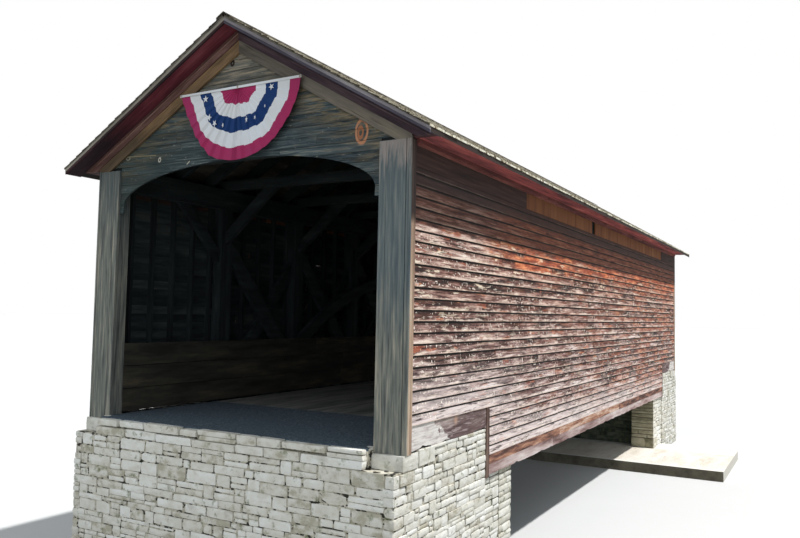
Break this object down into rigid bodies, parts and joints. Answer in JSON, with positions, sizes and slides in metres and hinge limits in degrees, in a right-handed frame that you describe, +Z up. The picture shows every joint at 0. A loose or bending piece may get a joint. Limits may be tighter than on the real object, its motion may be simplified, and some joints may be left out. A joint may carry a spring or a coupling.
{
  "type": "covered bridge",
  "caption": "Single-span covered timber bridge with arched trusses, gable roof and clapboard walls, standing on rubble stone abutments with a concrete footing at the far bank.",
  "frame": {"origin": "on the level that the masonry stands on, under the middle of the bridge", "axes": "+Z up; Y runs along the road, with the near portal and its bunting at -Y; +X is the right-hand wall seen from the near portal"},
  "size_m": [8.65, 16.81, 7.151],
  "materials": {
    "frame_timber": "weathered, unpainted or faded",
    "deck_plank": "weathered, unpainted or faded",
    "siding_board": "weathered, unpainted or faded",
    "portal_board": "weathered, unpainted or faded",
    "red_board": "weathered, unpainted or faded",
    "shingle": "weathered, unpainted or faded",
    "stone": "rough rubble in lime mortar",
    "concrete": "cast concrete",
    "bunting_cloth": "pleated cotton"
  },
  "bodies": {
    "root": {"bunting": "bunting_cloth", "corner_piers": "stone", "deck": "deck_plank", "eave_soffits": "red_board", "end_knee_braces": "frame_timber", "far_abutment": "stone", "far_footing": "concrete", "far_gable": "portal_board", "floor_beams": "frame_timber", "frieze_bands": "siding_board", "left_arch": "frame_timber", "left_braces": "frame_timber", "left_counter_braces": "frame_timber", "left_rafters": "frame_timber", "left_rake_trim": "portal_board", "left_roof_boards": "red_board", "left_shingles": "shingle", "left_siding": "siding_board", "left_truss_posts": "frame_timber", "left_wainscot": "frame_timber", "left_wall_studs": "frame_timber", "lower_chords": "frame_timber", "near_abutment": "stone", "near_gable": "portal_board", "portal_headers": "frame_timber", "portal_posts": "portal_board", "post_pads": "stone", "ridge_cap": "shingle", "right_arch": "frame_timber", "right_braces": "frame_timber", "right_counter_braces": "frame_timber", "right_rafters": "frame_timber", "right_rake_trim": "portal_board", "right_roof_boards": "red_board", "right_shingles": "shingle", "right_siding": "siding_board", "right_truss_posts": "frame_timber", "right_wainscot": "frame_timber", "right_wall_studs": "frame_timber", "sill_planks": "siding_board", "skirt_boards": "siding_board", "step_trims": "siding_board", "tie_beams": "frame_timber", "tie_knee_braces": "frame_timber", "top_plates": "frame_timber"}
  },
  "joints": []
}
